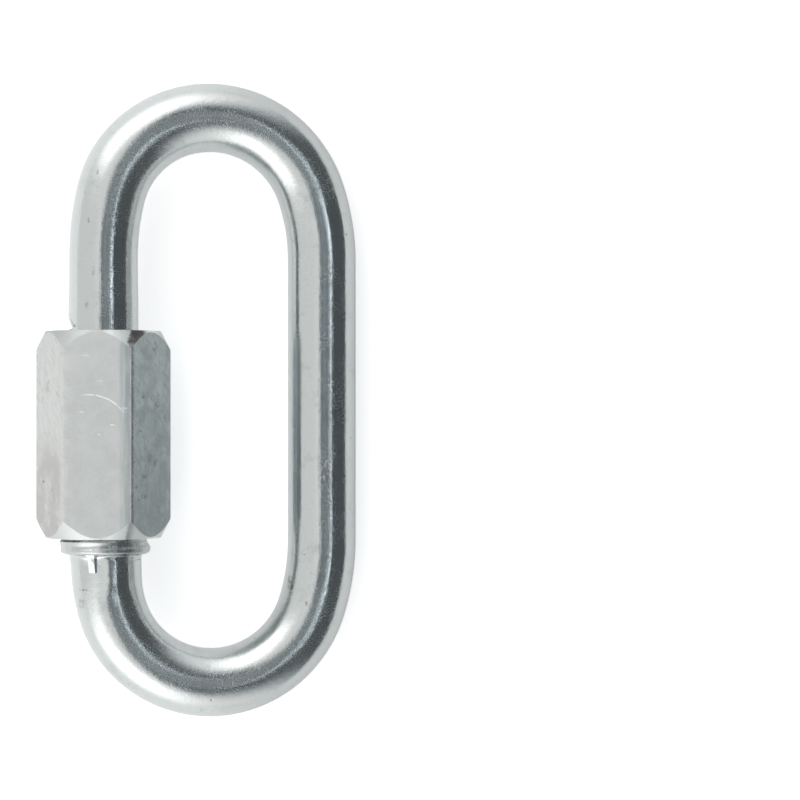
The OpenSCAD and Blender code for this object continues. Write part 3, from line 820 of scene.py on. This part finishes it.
dark_reflection = scaled(tree, ramp(tree, past_start, *DARK_REFLECTION_START_SOFT), ramp(tree, past_end, *DARK_REFLECTION_END_SOFT),
              ramp(tree, up_nut, *DARK_REFLECTION_ALONG), turned_end, ramp(tree, mottle, *DARK_REFLECTION_BROKEN))
cone_highlight = scaled(tree, ramp(tree, round_nut, *HIGHLIGHT_FROM), ramp(tree, round_nut, *HIGHLIGHT_TO))

# Along the upper flat's edges, in mm across the nut: painted shade beside the right one, a painted
# highlight along it and a painted dark reflection in streaks inside it, and small ticks across the left
# one
EDGE_SHADE_FROM, EDGE_SHADE_TO, EDGE_SHADE_BROKEN = (3.88, 3.96), (4.06, 4.2, 1.0, 0.0), (0.35, 0.6, 0.35, 0.8)
EDGE_HIGHLIGHT_FROM, EDGE_HIGHLIGHT_BROKEN = (3.72, 3.8), (0.4, 0.6, 0.1, 0.6)
STRIP_FROM = (2.6, 3.5)
TICKED_X, TICKED_HALF_WIDTH, TICKS_STRETCH = -3.5, 0.6, (0.6, 5.0, 0.6)
TICKS_SHOW, TICKS_PATCHES = (0.45, 0.68, 0.1, 0.4), (0.42, 0.6, 0.3, 1.0)
DARK_STRIP_FROM, DARK_STRIP_ALONG = (2.4, 2.9), (-4.0, 3.0, 0.5, 0.85)
DARK_STRIP_BROKEN = (0.36, 0.58, 0.25, 1.0)
# Painted shade: a dark line on the side flat just past the upper flat's right edge
edge_shade = scaled(tree, ramp(tree, across, *EDGE_SHADE_FROM), ramp(tree, across, *EDGE_SHADE_TO), side_flats,
               ramp(tree, satin, *EDGE_SHADE_BROKEN))
# Painted highlight: a broken bright line along the upper flat's right edge
edge_highlight = scaled(tree, ramp(tree, across, *EDGE_HIGHLIGHT_FROM), up_down_flat, ramp(tree, satin, *EDGE_HIGHLIGHT_BROKEN))
edge_strip = scaled(tree, ramp(tree, calc(tree, "ABSOLUTE", across), *STRIP_FROM), up_down_flat)
ticks = noise(tree, spot, detail=3.0, rough=0.7, stretch=TICKS_STRETCH)
ticked_edge = scaled(tree, near(tree, across, TICKED_X, TICKED_HALF_WIDTH), up_down_flat,
                     ramp(tree, ticks, *TICKS_SHOW), ramp(tree, mottle, *TICKS_PATCHES))
# Painted reflection: a darker blue-grey strip, broken into streaks, inside the upper flat's right edge
dark_reflection_strip = scaled(tree, ramp(tree, across, *DARK_STRIP_FROM), up_down_flat,
                       ramp(tree, up_nut, *DARK_STRIP_ALONG), ramp(tree, streaks, *DARK_STRIP_BROKEN))

# All of it laid over the zinc of each flat and cone, from the plain tone and each face's painted light and
# shade to the marks on top
RIGHT_STREAKS, RIGHT_PALER_UP, RIGHT_TONES = 0.5, 0.012, (0.5, 0.95)
LIT_FLAT_GRAIN, LIT_FLAT_TONES = 0.5, (0.55, 1.0)
UPPER_END_FROM = (-5.0, -3.0)
# Painted shade on the right flat, paler towards the nut's upper end, with cloudy streaks of stain
right_cloud = total(tree, mottle, scaled(tree, streaks, RIGHT_STREAKS),
                    scaled(tree, up_nut, RIGHT_PALER_UP))
right_shade_zinc = blend(tree, ramp(tree, right_cloud, *RIGHT_TONES), RIGHT_SHADE_DARK, RIGHT_SHADE_PALE)
colour = blend(tree, right_hand, LEFT_ZINC, right_shade_zinc)
# Painted light: the lighter, clouded zinc of the flats that lie up and down
lit_flat_cloud = total(tree, mottle, scaled(tree, grain_fine, LIT_FLAT_GRAIN))
lit_flat_zinc = blend(tree, ramp(tree, lit_flat_cloud, *LIT_FLAT_TONES), LIT_FLAT_ZINC, LIT_FLAT_DULL)
colour = blend(tree, up_down_flat, colour, lit_flat_zinc)
# Painted light and shade: the lower cone lighter, the upper one darker
cone_tone = blend(tree, ramp(tree, up_nut, *UPPER_END_FROM), LOWER_CONE_LIT, UPPER_CONE_SHADE)
# Painted highlight on the cones' right side and on the end rims
cone_tone = blend(tree, calc(tree, "MAXIMUM", cone_highlight, end_rim), cone_tone, CONE_HIGHLIGHT)
colour = blend(tree, turned_end, colour, cone_tone)
colour = blend(tree, calc(tree, "MAXIMUM", stained, ticked_edge), colour, NUT_STAIN)
# The painted dark reflection strip inside the upper flat's right edge
colour = blend(tree, dark_reflection_strip, colour, RIGHT_SHADE_DARK)
# Pits, and the painted shade beside the upper flat's right edge
colour = blend(tree, calc(tree, "MAXIMUM", pits, edge_shade), colour, PIT_AND_SHADE_GREY)
# Painted dark reflection of the room on the cones
colour = blend(tree, dark_reflection, colour, CONE_DARK_REFLECTION)
# Scratches, and the painted highlight along the upper flat's right edge
colour = blend(tree, calc(tree, "MAXIMUM", scratch, edge_highlight), colour, SCRATCH_AND_HIGHLIGHT_WHITE)

# The zinc's gloss and relief, in mm: rough satin flats, smoother cones and edges
SATIN_SPREAD, ROUGH_PLAY = (0.3, 0.7), 0.04
SATIN_HIGH, UNEVEN_HIGH, END_TURNING_HIGH = (0.0, 0.5, 0.006, 0.001), 0.03, 0.012
NUT_PIT_DEPTH, SCRATCH_DEPTH = 0.015, 0.015
nut_rough = ramp(tree, satin, *SATIN_SPREAD, FLAT_ROUGH - ROUGH_PLAY, FLAT_ROUGH + ROUGH_PLAY)
nut_rough = total(tree, nut_rough, scaled(tree, turned_end, TURNED_END_ROUGH - FLAT_ROUGH),
                  scaled(tree, edge_strip, EDGE_ROUGH - FLAT_ROUGH))
satin_height = scaled(tree, satin, ramp(tree, edge_strip, *SATIN_HIGH))
nut_height = total(tree, satin_height, scaled(tree, uneven, UNEVEN_HIGH),
                   scaled(tree, pits, -NUT_PIT_DEPTH), scaled(tree, scratch, -SCRATCH_DEPTH),
                   scaled(tree, turning, turned_end, END_TURNING_HIGH))
nut_bump = add_node(tree, "Bump", {"Height": nut_height, "Distance": MM, "Strength": 1.0}).outputs[0]
shader = add_node(tree, "BsdfPrincipled", {
    "Base Color": colour, "Metallic": 1.0, "Roughness": nut_rough, "Normal": nut_bump})
add_node(tree, "OutputMaterial", {"Surface": shader.outputs[0]})
nut.data.materials.clear()
nut.data.materials.append(nut_zinc)
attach(nut, "nut")
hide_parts("hex_nut")
